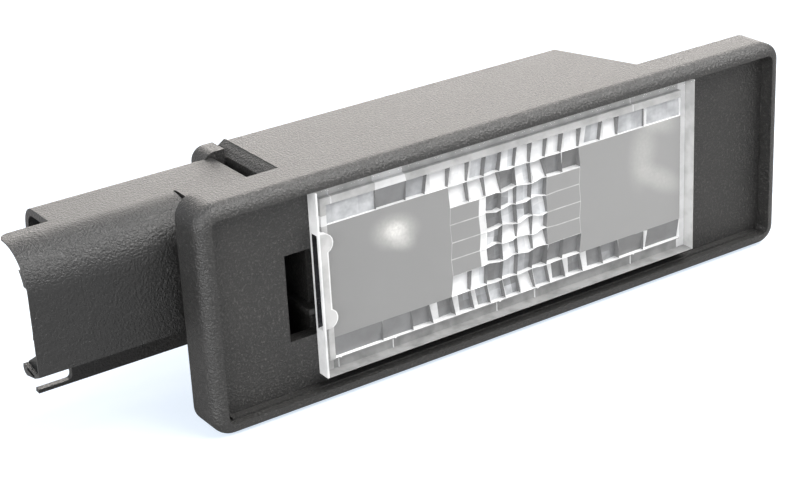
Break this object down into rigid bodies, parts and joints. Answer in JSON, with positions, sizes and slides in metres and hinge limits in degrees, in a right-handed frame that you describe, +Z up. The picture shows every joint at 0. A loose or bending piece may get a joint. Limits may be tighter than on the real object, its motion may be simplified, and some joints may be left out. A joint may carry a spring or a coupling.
{
  "type": "number plate lamp",
  "caption": "Car number plate lamp: a black bezel with a recessed clear prismatic lens, a lamp box with a wedge bulb behind it and a plug shroud at one end.",
  "frame": {"origin": "middle of the bounding box's underside, on the surface that the bezel's lower long edge stands on", "axes": "+X along the lamp, from the plug shroud to the plain end of the bezel; -Y is where the lens faces; +Z up across the bezel"},
  "size_m": [0.0964, 0.0196, 0.0264],
  "materials": {
    "black_plastic": "moulded black plastic with a fine spark-eroded grain",
    "clear_plastic": "clear moulded plastic, gloss in front, with prisms and a faint satin at the back",
    "bulb_glass": "clear glass",
    "tungsten": "dull drawn wire",
    "lead_wire": "plated wire",
    "tinned_metal": "tinned strip, satin"
  },
  "bodies": {
    "root": {"housing": "black_plastic", "lens": "clear_plastic", "bulb_glass": "bulb_glass", "filament": "tungsten", "lead_wire_front": "lead_wire", "lead_wire_rear": "lead_wire", "contact_front": "tinned_metal", "contact_rear": "tinned_metal"}
  },
  "joints": []
}
